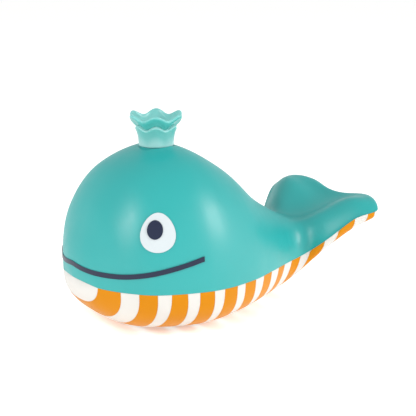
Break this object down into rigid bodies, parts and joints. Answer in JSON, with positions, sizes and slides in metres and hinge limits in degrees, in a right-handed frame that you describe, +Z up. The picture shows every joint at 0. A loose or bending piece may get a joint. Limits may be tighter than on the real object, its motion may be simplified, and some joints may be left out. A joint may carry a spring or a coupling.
{
  "type": "squeaky bath toy",
  "caption": "Hollow soft whale bath toy with a striped belly, a printed face, a belly squeaker and a lift-out crown spout.",
  "frame": {"origin": "under the middle of the whole toy, on the plane it rests on", "axes": "-X towards the head, +X towards the tail flukes, +Z up, left and right halves mirrored across y = 0"},
  "size_m": [0.171, 0.1038, 0.1096],
  "materials": {
    "teal_skin": "satin soft vinyl",
    "white_skin": "satin soft vinyl",
    "orange_ink": "satin soft vinyl",
    "white_print": "satin print",
    "ink_print": "satin print",
    "collar": "satin",
    "mint_plastic": "translucent satin",
    "clear_plastic": "smooth",
    "valve_rubber": "matte",
    "hard_white": "smooth",
    "reed_metal": "satin"
  },
  "bodies": {
    "toy": {"upper_shell": "teal_skin", "belly_shell": "white_skin", "belly_bands": "orange_ink", "eye_white_left": "white_print", "eye_white_right": "white_print", "pupil_left": "ink_print", "pupil_right": "ink_print", "mouth_line": "ink_print", "squeaker_housing": "hard_white", "reed_seat": "hard_white", "squeaker_cap": "hard_white"},
    "neck": {"neck_grommet": "collar"},
    "crown": {"crown_cup": "mint_plastic", "crown_funnel": "mint_plastic", "bubble_screen": "clear_plastic", "spout_stem": "mint_plastic", "valve_cage": "clear_plastic"},
    "valve": {"valve_disc": "valve_rubber"},
    "reed": {"reed_tongue": "reed_metal"}
  },
  "joints": [
    {"name": "squeeze", "type": "slide", "parent": "toy", "child": "neck", "axis": [0, 0, -1], "range_m": [0, 0.012], "stiffness_N_per_m": 1500, "deforming": ["upper_shell", "belly_shell", "belly_bands", "eye_white_left", "eye_white_right", "pupil_left", "pupil_right", "mouth_line"]},
    {"name": "crown_lift", "type": "slide", "parent": "neck", "child": "crown", "axis": [0, 0, 1], "range_m": [0, 0.065]},
    {"name": "valve_lift", "type": "slide", "parent": "crown", "child": "valve", "axis": [0, 0, 1], "range_m": [0, 0.0015]},
    {"name": "reed_flutter", "type": "hinge", "parent": "toy", "child": "reed", "pos_m": [-0.02134, 0, 0.0054], "axis": [0, 1, 0], "range_deg": [0, 6], "stiffness_Nm_per_rad": 0.0004}
  ]
}
